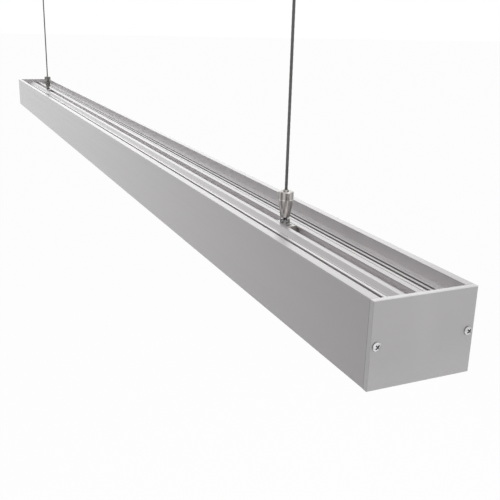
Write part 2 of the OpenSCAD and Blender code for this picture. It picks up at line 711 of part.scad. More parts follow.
module near_slot_nut() color("gainsboro") at_near() slot_nut();
module far_slot_nut() color("gainsboro") at_far() slot_nut();
module near_grub_screw() color("dimgray") at_near() grub_screw();
module far_grub_screw() color("dimgray") at_far() grub_screw();
module near_stud() color("lightgray") at_near() stud();
module far_stud() color("lightgray") at_far() stud();
module near_lock_nut() color("lightgray") at_near() lock_nut();
module far_lock_nut() color("lightgray") at_far() lock_nut();
module near_gripper_body() color("silver") at_near() gripper_body();
module far_gripper_body() color("silver") at_far() gripper_body();
module near_plunger() color("gray") at_near() plunger();
module far_plunger() color("gray") at_far() plunger();
module near_clamp_balls() color("slategray") at_near() clamp_balls();
module far_clamp_balls() color("slategray") at_far() clamp_balls();
module near_plunger_spring() color("slategray") at_near() plunger_spring();
module far_plunger_spring() color("slategray") at_far() plunger_spring();
module near_wire() color("gray") tube(near_wire_route, wire_r, 8, [0, 1, 0]);
module far_wire() color("gray") tube(far_wire_route, wire_r, 8, [0, 1, 0]);
module near_wire_ball() color("lightgray") at_near() wire_ball();
module far_wire_ball() color("lightgray") at_far() wire_ball();
module near_ceiling_base() color("darkgray") at_near() ceiling_base();
module far_ceiling_base() color("darkgray") at_far() ceiling_base();
module near_ceiling_cap() color("silver") at_near() ceiling_cap();
module far_ceiling_cap() color("silver") at_far() ceiling_cap();

body_extrusion();
near_end_cap();
far_end_cap();
near_cap_screws();
far_cap_screws();
diffuser();
led_tray();
led_boards();
led_chips();
board_screws();
driver_case();
driver_cover();
driver_board();
driver_screws();
terminal_block();
terminal_screws();
earth_screw();
earth_tag();
cable_grommet();
supply_leads();
earth_lead();
led_leads();
near_slot_nut();
far_slot_nut();
near_grub_screw();
far_grub_screw();
near_stud();
far_stud();
near_lock_nut();
far_lock_nut();
near_gripper_body();
far_gripper_body();
near_plunger();
far_plunger();
near_clamp_balls();
far_clamp_balls();
near_plunger_spring();
far_plunger_spring();
near_wire();
far_wire();
near_wire_ball();
far_wire_ball();
near_ceiling_base();
far_ceiling_base();
near_ceiling_cap();
far_ceiling_cap();
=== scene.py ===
import json
import math

import bmesh
import bpy
from bpy.props import FloatProperty, FloatVectorProperty, IntProperty, PointerProperty
from mathutils import Matrix, Vector

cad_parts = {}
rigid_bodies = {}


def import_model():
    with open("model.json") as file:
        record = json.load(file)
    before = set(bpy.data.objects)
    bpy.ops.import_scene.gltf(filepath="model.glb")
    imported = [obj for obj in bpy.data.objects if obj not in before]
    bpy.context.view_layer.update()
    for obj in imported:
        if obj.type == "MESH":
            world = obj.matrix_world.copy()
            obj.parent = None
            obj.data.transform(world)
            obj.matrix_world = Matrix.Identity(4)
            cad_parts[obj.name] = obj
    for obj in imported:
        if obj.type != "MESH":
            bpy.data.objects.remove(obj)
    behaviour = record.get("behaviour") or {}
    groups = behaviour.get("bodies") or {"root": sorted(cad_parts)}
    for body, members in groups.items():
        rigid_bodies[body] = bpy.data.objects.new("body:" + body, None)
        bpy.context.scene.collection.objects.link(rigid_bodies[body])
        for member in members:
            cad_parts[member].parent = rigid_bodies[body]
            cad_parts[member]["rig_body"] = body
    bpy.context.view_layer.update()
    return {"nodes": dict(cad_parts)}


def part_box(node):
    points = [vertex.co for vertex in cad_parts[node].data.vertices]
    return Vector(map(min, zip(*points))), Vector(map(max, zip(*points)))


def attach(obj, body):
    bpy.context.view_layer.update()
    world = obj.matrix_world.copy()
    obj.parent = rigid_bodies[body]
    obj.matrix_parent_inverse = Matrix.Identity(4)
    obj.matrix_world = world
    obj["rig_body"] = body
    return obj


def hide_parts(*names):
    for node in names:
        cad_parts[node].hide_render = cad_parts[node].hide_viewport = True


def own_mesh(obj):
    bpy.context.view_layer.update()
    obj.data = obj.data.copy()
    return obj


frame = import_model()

bl_info = {
    "name": "Linear pendant light",
    "version": (1, 0, 0),
    "blender": (4, 5, 0),
    "location": "3D View > Sidebar > Pendant",
    "description": "Dresses a wire-hung linear light with its finishes, wires and small parts",
    "category": "Object",
}

MM = 0.001
WELD = 1e-6
SIDES = ("near", "far")
# satin metal under the clear layer that anodising grows on it
OXIDE = {"Metallic": 0.2, "Coat_Weight": 0.8, "Coat_Roughness": 0.22}
# name, place, target, size and watts of each soft lamp
LAMPS = (
    ("Backlight", (-2.6, 1.1, 0.75), (-0.1, 0, -0.18), (2.4, 1.6), 5.8),
    ("Overhead", (0.1, 0.5, 1.7), (0, 0, -0.18), (2.4, 1.4), 8),
    ("Right", (0.2, 1.9, 0.35), (0, 0, -0.18), (2.2, 1.2), 20),
    ("Front", (0.4, -2.2, 0.5), (0, 0, -0.2), (2.2, 1.2), 2),
    ("Near end", (2.6, 0.6, 0.3), (0.6, 0, -0.2), (1.6, 1.2), 13),
    ("Far end", (-3, -0.6, 0.1), (-0.4, 0, -0.2), (1.2, 0.8), 1),
)
# the lamps that the satin metal mirrors; the others light it and stay out of its gloss
MIRRORED = ("Backlight", "Overhead")
# how early the rim share of a finish sets in, which paints shade where the surface turns away
PAINTED_RIM_SHADE_BLEND = 0.35


def srgb(red, green, blue):
    """A colour picked on screen, from 0 to 255, as the linear values that Blender reads."""
    shares = [value / 255 for value in (red, green, blue)]
    return tuple(s / 12.92 if s <= 0.04045 else ((s + 0.055) / 1.055) ** 2.4 for s in shares)


def middle(node):
    low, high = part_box(node)
    return (low + high) / 2


# Settings


class PendantBodySettings(bpy.types.PropertyGroup):
    aluminium: FloatVectorProperty(
        name="Anodised aluminium", description="Colour of the extrusion",
        subtype="COLOR", default=srgb(203, 200, 201), min=0, max=1)
    cap_colour: FloatVectorProperty(
        name="End caps", description="Colour of the two end caps",
        subtype="COLOR", default=srgb(203, 201, 202), min=0, max=1)
    opal: FloatVectorProperty(
        name="Diffuser", description="Colour of the opal diffuser",
        subtype="COLOR", default=srgb(240, 240, 237), min=0, max=1)
    outer_round: FloatProperty(
        name="Outer edge radius", description="Rounding of the extrusion's outer edges and rims",
        default=0.3 * MM, min=0, unit="LENGTH")
    inner_round: FloatProperty(
        name="Inner edge radius", description="Rounding of the deck, the slot and the drawn lines",
        default=0.12 * MM, min=0, unit="LENGTH")
    cap_round: FloatProperty(
        name="Cap edge radius", description="Rounding of the bevels round the end caps",
        default=0.1 * MM, min=0, unit="LENGTH")
    line_spacing: FloatProperty(
        name="Drawing line spacing", description="Distance between the fine lines left by the die",
        default=0.9 * MM, min=0.01 * MM, unit="LENGTH")


class PendantHangerSettings(bpy.types.PropertyGroup):
    nickel: FloatVectorProperty(
        name="Nickel plating", description="Colour of the grippers and ceiling fittings",
        subtype="COLOR", default=srgb(194, 191, 188), min=0, max=1)
    bright_zinc: FloatVectorProperty(
        name="Bright zinc", description="Colour of the cap screws and the screws inside",
        subtype="COLOR", default=srgb(236, 236, 238), min=0, max=1)
    wire_steel: FloatVectorProperty(
        name="Wire rope", description="Colour of the suspension wires",
        subtype="COLOR", default=srgb(106, 105, 105), min=0, max=1)
    wire_strands: IntProperty(
        name="Outer strands", description="Strands laid round the core of each wire",
        default=6, min=3, max=12)
    wire_lay: FloatProperty(
        name="Lay length", description="Length of wire over which a strand goes once round",
        default=24 * MM, min=2 * MM, unit="LENGTH")
    edge_round: FloatProperty(
        name="Fitting edge radius", description="Rounding of the small turned and cut fittings",
        default=0.12 * MM, min=0, unit="LENGTH")
    thread_pitch: FloatProperty(
        name="Thread pitch", description="Pitch of the thread on studs and grub screws",
        default=0.5 * MM, min=0.2 * MM, unit="LENGTH")


class PendantInsideSettings(bpy.types.PropertyGroup):
    tray_white: FloatVectorProperty(
        name="Tray", description="Colour of the powder-coated LED tray",
        subtype="COLOR", default=srgb(238, 238, 236), min=0, max=1)
    phosphor: FloatVectorProperty(
        name="LED phosphor", description="Colour of the LEDs while they are off",
        subtype="COLOR", default=srgb(236, 206, 92), min=0, max=1)
    circuit: FloatVectorProperty(
        name="Driver board", description="Colour of the driver's circuit board",
        subtype="COLOR", default=srgb(28, 92, 58), min=0, max=1)
    lead_diameter: FloatProperty(
        name="Lead diameter", description="Diameter of the insulated leads",
        default=1.8 * MM, min=0.5 * MM, unit="LENGTH")


class PendantStageSettings(bpy.types.PropertyGroup):
    lens: FloatProperty(
        name="Lens", description="Focal length of the camera, in millimetres",
        default=52.785, min=10)
    place: FloatVectorProperty(
        name="Camera place", description="Where the camera stands",
        subtype="TRANSLATION", unit="LENGTH", default=(0.86876, -0.20989, -0.05454))
    heading: FloatProperty(
        name="Heading", description="Direction of the view, turned from +X towards +Y",
        subtype="ANGLE", default=math.radians(155.570))
    pitch: FloatProperty(
        name="Pitch", description="Angle of the view above the horizon",
        subtype="ANGLE", default=math.radians(-17.492))
    roll: FloatProperty(
        name="Roll", description="Tilt of the camera about its view",
        subtype="ANGLE", default=math.radians(1.578))
    floor_level: FloatProperty(
        name="Floor level", description="Height of the floor below the ceiling fittings",
        default=-1.6, unit="LENGTH")
    floor_colour: FloatVectorProperty(
        name="Floor", description="Colour of the pale floor",
        subtype="COLOR", default=srgb(238, 238, 238), min=0, max=1)
    ambient: FloatProperty(
        name="Ambient light", description="Strength of the even light from all round",
        default=0.15, min=0)
    skylight: FloatProperty(
        name="Light from above", description="Strength of the soft light at the zenith",
        default=0.78, min=0)


# Shader groups and materials


def wired(tree, kind, inputs, output=0, **settings):
    """Adds a shader node with its settings. Its inputs, by number or name, are linked from
    sockets or set to values. Gives one of its outputs, or all of them."""
    node = tree.nodes.new("ShaderNode" + kind)
    for name, value in settings.items():
        setattr(node, name, value)
    for key, value in inputs.items():
        if isinstance(value, bpy.types.NodeSocket):
            tree.links.new(value, node.inputs[key])
        else:
            node.inputs[key].default_value = value
    return node.outputs if output is None else node.outputs[output]


def mask_group(name, inputs):
    """A shader group with a Mask output and named inputs, each a number with its default or
    a vector. Gives the tree, its inputs and the socket that takes the mask."""
    tree = bpy.data.node_groups.new(name, "ShaderNodeTree")
    for title, default in inputs.items():
        kind = "NodeSocketVector" if default is None else "NodeSocketFloat"
        socket = tree.interface.new_socket(name=title, in_out="INPUT", socket_type=kind)
        if default is not None:
            socket.default_value = default
    tree.interface.new_socket(name="Mask", in_out="OUTPUT", socket_type="NodeSocketFloat")
    given = tree.nodes.new("NodeGroupInput").outputs
    return tree, given, tree.nodes.new("NodeGroupOutput").inputs["Mask"]


def noise_group():
    """Noise that is stretched by its own count of cells per metre along each axis."""
    tree, given, mask = mask_group("Stretched noise", {
        "Along X": 100, "Along Y": 100, "Along Z": 100, "Detail": 3, "Contrast": 2})
    place = wired(tree, "TexCoord", {}, "Object")
    counts = wired(tree, "CombineXYZ", {axis: given["Along " + axis] for axis in "XYZ"})
    stretched = wired(tree, "VectorMath", {0: place, 1: counts}, operation="MULTIPLY")
    noise = wired(
        tree, "TexNoise", {"Vector": stretched, "Scale": 1, "Detail": given["Detail"]}, "Fac")
    middle_grey = 0.5
    centred = wired(tree, "Math", {0: noise, 1: middle_grey}, operation="SUBTRACT")
    spread = wired(tree, "Math", {0: centred, 1: given["Contrast"], 2: middle_grey},
                   operation="MULTIPLY_ADD", use_clamp=True)
    tree.links.new(spread, mask)
    return tree


def noise_mask(tree, cells, contrast=2.0):
    """The mask output of one placed copy of the stretched noise, with cells per metre."""
    group = bpy.data.node_groups.get("Stretched noise") or noise_group()
    values = {"Along " + axis: count for axis, count in zip("XYZ", cells)}
    values["Contrast"] = contrast
    return wired(tree, "Group", values, "Mask", node_tree=group)


def zone_group():
    """1 within reach of a point given by its distances from the origin, fading at the edge."""
    tree, given, mask = mask_group("Zone", {"Centre": None, "Reach": None, "Fade": 0})
    away = wired(tree, "TexCoord", {}, "Object")
    away = wired(tree, "VectorMath", {0: away}, operation="ABSOLUTE")
    away = wired(tree, "VectorMath", {0: away, 1: given["Centre"]}, operation="SUBTRACT")
    away = wired(tree, "VectorMath", {0: away}, operation="ABSOLUTE")
    depth = wired(tree, "VectorMath", {0: given["Reach"], 1: away}, operation="SUBTRACT")
    parts = wired(tree, "SeparateXYZ", {0: depth}, None)
    least = wired(tree, "Math", {0: parts["X"], 1: parts["Y"]}, operation="MINIMUM")
    least = wired(tree, "Math", {0: least, 1: parts["Z"]}, operation="MINIMUM")
    share = wired(
        tree, "Math", {0: least, 1: given["Fade"]}, operation="DIVIDE", use_clamp=True)
    tree.links.new(share, mask)
    return tree


def ball_group():
    """1 inside a ball round a point given by its distances from the origin, fading at its
    surface."""
    tree, given, mask = mask_group("Ball zone", {"Centre": None, "Reach": 0, "Fade": 0})
    place = wired(tree, "TexCoord", {}, "Object")
    place = wired(tree, "VectorMath", {0: place}, operation="ABSOLUTE")
    away = wired(
        tree, "VectorMath", {0: place, 1: given["Centre"]}, "Value", operation="DISTANCE")
    depth = wired(tree, "Math", {0: given["Reach"], 1: away}, operation="SUBTRACT")
    share = wired(
        tree, "Math", {0: depth, 1: given["Fade"]}, operation="DIVIDE", use_clamp=True)
    tree.links.new(share, mask)
    return tree


def zone_mask(tree, place, fade):
    """The mask of a zone in millimetres from the origin: three spans, or a point and a
    radius."""
    if len(place) == 3:
        group = bpy.data.node_groups.get("Zone") or zone_group()
        centre = [(low + high) / 2 * MM for low, high in place]
        reach = [(high - low) / 2 * MM for low, high in place]
    else:
        group = bpy.data.node_groups.get("Ball zone") or ball_group()
        centre = [value * MM for value in place[0]]
        reach = place[1] * MM
    values = {"Centre": centre, "Reach": reach, "Fade": fade * MM}
    return wired(tree, "Group", values, "Mask", node_tree=group)


def tinted(tree, colour, share, mask):
    """The colour, multiplied by the share of each channel where the mask is 1."""
    return wired(tree, "Mix", {"Factor": mask, "A": colour, "B": (*share, 1)}, "Result",
                 data_type="RGBA", blend_type="MULTIPLY")


def finish(name, colour, shade, clouds, roughness, streaks, bumps, contrast=2.0, zones=(),
           rim=1.0, **plain):
    """A material whose colour drifts from colour to shade over clouds, whose roughness runs
    between two values over streaks, and whose relief is a list of (cells, strength, depth).
    Zones are (place, fade, share of the colour, or of each channel); rim is the share where
    the surface turns away, as painted shade that stands for a dark reflection at the rims."""
    title = name + " finish"
    material = bpy.data.materials.get(title)
    if material:
        return material
    material = bpy.data.materials.new(title)
    material.use_nodes = True
    tree = material.node_tree
    surface = tree.nodes["Principled BSDF"]
    for socket, value in plain.items():
        surface.inputs[socket.replace("_", " ")].default_value = value
    drift = noise_mask(tree, clouds, contrast)
    base = wired(tree, "Mix", {"Factor": drift, "A": (*colour, 1), "B": (*shade, 1)}, "Result",
                 data_type="RGBA")
    for place, fade, share in zones:
        share = share if isinstance(share, tuple) else even(share)
        base = tinted(tree, base, share, zone_mask(tree, place, fade))
    # painted shade: the colour darkens where the surface turns away, standing in for a dark
    # reflection
    if rim != 1:
        rim_painted_shade = wired(tree, "LayerWeight", {"Blend": PAINTED_RIM_SHADE_BLEND}, "Facing")
        base = tinted(tree, base, even(rim), rim_painted_shade)
    tree.links.new(base, surface.inputs["Base Color"])
    span = wired(tree, "MapRange", {
        "Value": noise_mask(tree, streaks), "To Min": roughness[0], "To Max": roughness[1]},
        "Result")
    tree.links.new(span, surface.inputs["Roughness"])
    relief = {}
    for cells, strength, depth in bumps:
        relief.update(Strength=strength, Distance=depth, Height=noise_mask(tree, cells))
        relief["Normal"] = wired(tree, "Bump", relief, "Normal")
    tree.links.new(relief["Normal"], surface.inputs["Normal"])
    return material


def darker(colour, share):
    return tuple(channel * share for channel in colour)


def even(value):
    return (value, value, value)


def anodised():
    """Silver, with painted light that makes the recess a little lighter and the slot's lips and
    chamber much lighter, with painted shade that makes the outer sides and the grooves darker,
    and darker along the joints with the caps."""
    settings = bpy.context.scene.pendant_body
    across = 1 / settings.line_spacing
    colour = settings.aluminium
    length, all_round = (0, 620), (0, 40)
    # painted light: the recess a little lighter
    recess = ((length, (9.9, 25.1), (175.6, 183.2)), 0.1, 1.25)
    # painted shade deep in the drawn grooves
    grooves = ((length, (12.9, 18.6), (181.45, 183.2)), 0.1, 0.5)
    # painted light: the slot's lips and its chamber made lighter
    slot_lip_painted_light = ((length, (0, 3.5), (179.55, 180.8)), 0.1, 1.15)
    slot_painted_light = ((length, (0, 9), (180.8, 192)), 0.1, 1.5)
    # painted shade on the outer sides, with a faint pink tint of the metal
    side_painted_shade = ((length, (29.6, 31), (175.5, 225)), 0.1, (0.81, 0.794, 0.8))
    cap_joints = (((606.6, 607.2), all_round, (170, 225)), 0.2, 0.5)
    return finish(
        "anodised", colour, darker(colour, 0.95), (3, 14, 14), (0.3, 0.4), (4, across, across),
        [((5, across, across), 0.05, 0.02 * MM), (even(9000), 0.03, 0.01 * MM)],
        zones=(recess, grooves, slot_lip_painted_light, slot_painted_light, side_painted_shade, cap_joints), **OXIDE)


def cap_anodised():
    """Silver like the extrusion, with painted shade that makes it darker towards the top and a
    painted highlight along its upper edges.
    """
    colour = bpy.context.scene.pendant_body.cap_colour
    everywhere = (0, 620), (0, 40)
    # painted shade, darker towards the top of the caps
    painted_shade_to_top = ((*everywhere, (135, 215)), 40, 0.86)
    # painted highlight along the caps' upper edges
    edge_painted_highlight = ((*everywhere, (174, 175.4)), 0.2, 1.4)
    return finish(
        "cap_anodised", colour, darker(colour, 0.93), even(16), (0.34, 0.42), (300, 40, 900),
        [((300, 60, 1500), 0.1, 0.02 * MM), (even(8000), 0.08, 0.01 * MM)],
        zones=(painted_shade_to_top, edge_painted_highlight), **OXIDE)


def opal():
    colour = bpy.context.scene.pendant_body.opal
    return finish(
        "opal", colour, darker(colour, 0.985), (2, 9, 9), (0.32, 0.42), even(120),
        [((6, 900, 900), 0.05, 0.01 * MM)], IOR=1.49, Subsurface_Weight=0.25,
        Subsurface_Scale=1.5 * MM)


def nickel(side="near"):
    """Bright plating with dark and light streaks along the fittings that are painted reflections,
    a painted highlight on the upper ends and painted light on the tapering lower parts. The far
    gripper is darker by painted shade, as in the photo."""
    # the far gripper's copy of the plating is darker as painted shade
    name, share = ("nickel", 1) if side == "near" else ("nickel painted_shade", 0.5)
    colour = darker(bpy.context.scene.pendant_hangers.nickel, share)
    top = -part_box("near_gripper_body")[1].z / MM
    everywhere = (0, 620), (0, 40)
    # painted highlight on the grippers' upper ends
    top_painted_highlight = ((*everywhere, (top - 0.5, top + 0.4)), 0.1, 1.6)
    # painted light on the grippers' tapers
    taper_painted_light = ((*everywhere, (top + 4.6, top + 18)), 1, 1.8)
    # the strong streaks from the colour to a dark shade are painted reflections
    return finish(
        name, colour, darker(colour, 0.35), (520, 520, 6), (0.14, 0.26), (60, 60, 3000),
        [((20, 20, 5000), 0.1, 0.01 * MM)], contrast=4, zones=(top_painted_highlight, taper_painted_light), rim=0.4,
        Metallic=1.0)


def nickel_plate():
    """The same plating on flat plates, which show no streaks."""
    colour = bpy.context.scene.pendant_hangers.nickel
    return finish(
        "nickel plate", colour, darker(colour, 0.85), even(300), (0.25, 0.35), (60, 900, 900),
        [(even(2500), 0.1, 0.01 * MM)], Metallic=1.0)


def bright_screw():
    """Bright zinc, mottled, the dark mottling partly a painted reflection, with painted shade that
    makes it dark in the cross recesses, below the dome of each head.
    """
    colour = bpy.context.scene.pendant_hangers.bright_zinc
    # painted shade in the cross recesses
    recess = (((607.58, 26.6, 198), 3.62), 0.05, 0.22)
    return finish(
        "bright_screw", colour, darker(colour, 0.6), even(700), (0.12, 0.26), even(900),
        [(even(2500), 0.08, 0.01 * MM)], contrast=4, zones=[recess], rim=0.4, Metallic=1.0)


def bright_screw_painted_shade():
    """Zinc mottled dark by painted shade, for the studs and lock nuts."""
    return finish(
        "bright_screw in_painted_shade", srgb(190, 190, 190), srgb(58, 57, 58), even(900), (0.2, 0.35),
        even(900), [(even(2500), 0.1, 0.01 * MM)], contrast=4, rim=0.5, Metallic=1.0)


def wire_rope():
    colour = bpy.context.scene.pendant_hangers.wire_steel
    return finish(
        "wire_rope", colour, darker(colour, 0.75), (900, 900, 60), (0.28, 0.4), even(1600),
        [(even(5000), 0.12, 0.005 * MM)], Metallic=1.0)


def tray_white():
    colour = bpy.context.scene.pendant_inside.tray_white
    return finish(
        "tray_white", colour, darker(colour, 0.97), even(20), (0.42, 0.52), even(300),
        [(even(2200), 0.2, 0.02 * MM)])


def led_phosphor():
    colour = bpy.context.scene.pendant_inside.phosphor
    return finish(
        "led_phosphor", colour, darker(colour, 0.85), even(1500), (0.1, 0.2), even(2000),
        [(even(4000), 0.1, 0.01 * MM)], Coat_Weight=0.6)


def circuit_green():
    colour = bpy.context.scene.pendant_inside.circuit
    return finish(
        "circuit_green", colour, darker(colour, 0.6), (300, 300, 60), (0.25, 0.4), even(900),
        [((500, 500, 60), 0.3, 0.03 * MM)])


def lead_cover(name, colour):
    return finish(
        name, colour, darker(colour, 0.88), (30, 300, 300), (0.3, 0.4), even(900),
        [(even(2500), 0.08, 0.01 * MM)])


def plain_finish(name):
    """One of the finishes of PLAIN, which have no zones and no colour setting."""
    colour, shade, clouds, roughness, streaks, relief, metallic = PLAIN[name]
    return finish(name, colour, shade, clouds, roughness, streaks, [relief], Metallic=metallic)


# colour, shade, clouds, roughness, streaks, relief and metallic, as finish takes them
PLAIN = {
    "dark_steel": (srgb(74, 73, 74), srgb(56, 55, 56), even(700), (0.35, 0.5), even(1500),
                   (even(4000), 0.15, 0.01 * MM), 0.9),
    "spring_steel": (srgb(168, 168, 170), srgb(140, 140, 143), even(900), (0.2, 0.32),
                     even(2500), (even(6000), 0.1, 0.005 * MM), 1.0),
    "board_white": (srgb(246, 246, 240), srgb(232, 232, 222), (50, 400, 400), (0.2, 0.3),
                    even(600), ((80, 600, 600), 0.15, 0.02 * MM), 0.0),
    "driver_plastic": (srgb(240, 240, 240), srgb(230, 230, 229), even(40), (0.45, 0.55),
                       even(800), (even(2600), 0.25, 0.02 * MM), 0.0),
    "terminal_plastic": (srgb(232, 228, 212), srgb(222, 217, 198), even(60), (0.35, 0.45),
                         even(900), (even(3000), 0.15, 0.01 * MM), 0.0),
    "brass_screw": (srgb(214, 182, 104), srgb(190, 156, 84), even(400), (0.2, 0.32),
                    even(1500), (even(4000), 0.1, 0.01 * MM), 1.0),
    "grommet_rubber": (srgb(44, 44, 45), srgb(34, 34, 35), even(200), (0.55, 0.7),
                       even(900), (even(3000), 0.3, 0.02 * MM), 0.0),
}


# Making and placing meshes


def meshed(name, bm):
    """The mesh that bm has become, which ends bm."""
    mesh = bpy.data.meshes.new(name)
    bm.to_mesh(mesh)
    bm.free()
    return mesh


def placed(name, data):
    """A new object in the scene that holds a mesh, curve, lamp or camera."""
    holder = bpy.data.objects.new(name, data)
    bpy.context.scene.collection.objects.link(holder)
    return holder


def show(name, bm, node, material, crease=8):
    """Makes bm a shown piece that stands for a node and rides on its body. It is smooth only
    where faces turn by less than the crease, so that flat faces stay flat beside their
    rounded edges."""
    for face in bm.faces:
        face.smooth = True
    for edge in bm.edges:
        edge.smooth = edge.calc_face_angle(0) < math.radians(crease)
    mesh = meshed(name, bm)
    mesh.materials.append(material)
    piece = placed(name, mesh)
    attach(piece, frame["nodes"][node]["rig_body"])
    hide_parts(node)
    return piece


def welded_copy(node):
    """The node's solid as clean faces: triangles welded, and flat ones joined."""
    bm = bmesh.new()
    bm.from_mesh(frame["nodes"][node].data)
    bmesh.ops.remove_doubles(bm, verts=bm.verts, dist=WELD)
    bmesh.ops.dissolve_limit(
        bm, angle_limit=math.radians(0.5), verts=bm.verts, edges=bm.edges)
    return bm


def round_edges(bm, radius, chosen=lambda edge: True, angle=28):
    sharp = [edge for edge in bm.edges if edge.is_manifold
             and edge.calc_face_angle(0) > math.radians(angle) and chosen(edge)]
    bmesh.ops.bevel(
        bm, geom=sharp, offset=radius, offset_type="OFFSET", segments=2, profile=0.5,
        affect="EDGES", clamp_overlap=True, material=-1)


def show_rounded(node, material, radius, angle=28, crease=8):
    """A copy of the node with rounded edges, which stands for it."""
    bm = welded_copy(node)
    round_edges(bm, radius, angle=angle)
    return show(node + "_rounded", bm, node, material, crease)


def dress(node, material):
    """Gives a node that is shown as it is its finish."""
    piece = frame["nodes"][node]
    piece.data.materials.clear()
    piece.data.materials.append(material)


def wound_round(bm, centre, radius, offset, turns, drop, steps, sides, phase=0.0):
    """Adds one round wire that winds down round a vertical axis, offset from it."""
    slope = math.atan2(drop, turns * math.tau * offset)
    lean = Matrix.Translation((offset, 0, 0)) @ Matrix.Rotation(math.pi / 2 - slope, 4, "X")
    turn = Matrix.Translation(centre) @ Matrix.Rotation(phase, 4, "Z")
    ring = bmesh.ops.create_circle(bm, cap_ends=False, radius=radius, segments=sides)["verts"]
    bmesh.ops.transform(bm, matrix=turn @ lean, verts=ring)
    edges = {edge for vert in ring for edge in vert.link_edges}
    before = set(bm.verts)
    bmesh.ops.spin(
        bm, geom=list(ring) + list(edges), cent=centre, axis=(0, 0, 1),
        dvec=(0, 0, -drop / steps), angle=turns * math.tau, steps=steps, use_merge=False)
    made = {vert for vert in bm.verts if vert not in before} | set(ring)
    ends = [edge for edge in bm.edges if edge.is_boundary and edge.verts[0] in made]
    bmesh.ops.holes_fill(bm, edges=ends, sides=0)


def turned(bm, outline, matrix=Matrix.Identity(4), steps=48):
    """Spins an outline of (radius, height) points about Z and closes it at the axis."""
    verts = [bm.verts.new((radius, 0, height)) for radius, height in outline]
    edges = [bm.edges.new(pair) for pair in zip(verts, verts[1:])]
    before = set(bm.verts) - set(verts)
    bmesh.ops.spin(
        bm, geom=verts + edges, cent=(0, 0, 0), axis=(0, 0, 1), angle=math.tau, steps=steps,
        use_merge=True)
    made = [vert for vert in bm.verts if vert not in before]
    bmesh.ops.remove_doubles(bm, verts=made, dist=WELD)
    made = [vert for vert in bm.verts if vert not in before]
    bmesh.ops.transform(bm, matrix=matrix, verts=made)


def arc(level, radius, start, end, steps):
    """Outline points on a ball centred on the axis at a level, between two angles in degrees
    above the horizontal."""
    turns = [math.radians(start + (end - start) * i / steps) for i in range(steps + 1)]
    return [(radius * math.cos(turn), level + radius * math.sin(turn)) for turn in turns]


def lathe(outline, place, rounding=0.0, steps=64):
    """A closed solid turned from an outline of (radius, height) points in millimetres."""
    bm = bmesh.new()
    turned(bm, [(radius * MM, height * MM) for radius, height in outline],
           Matrix.Translation(place), steps)
    bmesh.ops.recalc_face_normals(bm, faces=bm.faces)
    if rounding:
        round_edges(bm, rounding, angle=15)
    return bm


def drill(radius, depth, matrix, sides=32):
    """A round or many-sided cutter that runs along +Z from the matrix's origin."""
    cutter = bmesh.new()
    bmesh.ops.create_cone(
        cutter, cap_ends=True, cap_tris=False, segments=sides, radius1=radius, radius2=radius,
        depth=depth, matrix=matrix @ Matrix.Translation((0, 0, depth / 2)))
    return cutter


def carved(bm, cutter, operation="DIFFERENCE"):
    """bm with the cutter's shape taken out of it, or kept alone with INTERSECT."""
    holders = [placed("carving", meshed("carving", shape)) for shape in (bm, cutter)]
    cut = holders[0].modifiers.new("cut", "BOOLEAN")
    cut.object = holders[1]
    cut.operation = operation
    cut.solver = "EXACT"
    result = bmesh.new()
    result.from_object(holders[0], bpy.context.evaluated_depsgraph_get())
    for holder in holders:
        mesh = holder.data
        bpy.data.objects.remove(holder)
        bpy.data.meshes.remove(mesh)
    return result


def show_node(node, bm, material, crease=8):
    """Shows bm as the finished form of a node."""
    return show(node + "_formed", bm, node, material, crease)


# Light body


class PENDANT_OT_extrusion(bpy.types.Operator):
    """Rounds the edges of the extrusion and gives it its anodised finish"""
    bl_idname = "pendant.extrusion"
    bl_label = "Extrusion"

    def execute(self, context):
        settings = context.scene.pendant_body
        low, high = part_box("body_extrusion")
        slack = 0.1 * MM
        recess_edge = 25 * MM - slack
        deck_under = high.z - 12 * MM
        bm = welded_copy("body_extrusion")

        def runs_along(edge):
            first, second = edge.verts
            return abs(first.co.x - second.co.x) > (high.x - low.x) / 2

        def on_the_rims(edge):
            across, level = abs(edge.verts[0].co.y), edge.verts[0].co.z
            return runs_along(edge) and across > recess_edge \
                and (level > high.z - slack or across > high.y - slack)

        def in_the_recess(edge):
            across, level = abs(edge.verts[0].co.y), edge.verts[0].co.z
            return runs_along(edge) and across < recess_edge and level > deck_under

        round_edges(bm, settings.outer_round, on_the_rims)
        round_edges(bm, settings.inner_round, in_the_recess)
        show("extrusion_rounded", bm, "body_extrusion", anodised())
        return {"FINISHED"}


class PENDANT_OT_end_caps(bpy.types.Operator):
    """Rounds the bevels of both end caps and gives them their satin finish"""
    bl_idname = "pendant.end_caps"
    bl_label = "End caps"

    def execute(self, context):
        radius = context.scene.pendant_body.cap_round
        for side in SIDES:
            show_rounded(side + "_end_cap", cap_anodised(), radius, angle=20)
        return {"FINISHED"}


def cross_head(diameter, height):
    """A domed screw head with a tapered cross recess, seated at z = 0."""
    radius = diameter / 2
    dome = diameter * 0.8
    dome_steps = 8
    rim = height - dome + math.sqrt(dome ** 2 - radius ** 2)
    outline = [(0, 0), (radius * 0.96, 0), (radius, rim * 0.15)]
    for i in range(dome_steps + 1):
        across = radius * (1 - i / dome_steps)
        outline.append((across, height - dome + math.sqrt(dome ** 2 - across ** 2)))
    head = bmesh.new()
    turned(head, outline)
    bmesh.ops.recalc_face_normals(head, faces=head.faces)
    blade_size = (diameter * 1.1, diameter * 0.22, height * 1.5)
    narrowing = (0.3, 0.6, 1)
    for turn in (45, 135):
        blade = bmesh.new()
        bmesh.ops.create_cube(blade, size=1)
        bmesh.ops.scale(blade, vec=blade_size, verts=blade.verts)
        lower = [vert for vert in blade.verts if vert.co.z < 0]
        bmesh.ops.scale(blade, vec=narrowing, verts=lower)
        bmesh.ops.translate(blade, vec=(0, 0, height), verts=blade.verts)
        bmesh.ops.rotate(
            blade, cent=(0, 0, 0), matrix=Matrix.Rotation(math.radians(turn), 3, "Z"),
            verts=blade.verts)
        head = carved(head, blade)
    return head


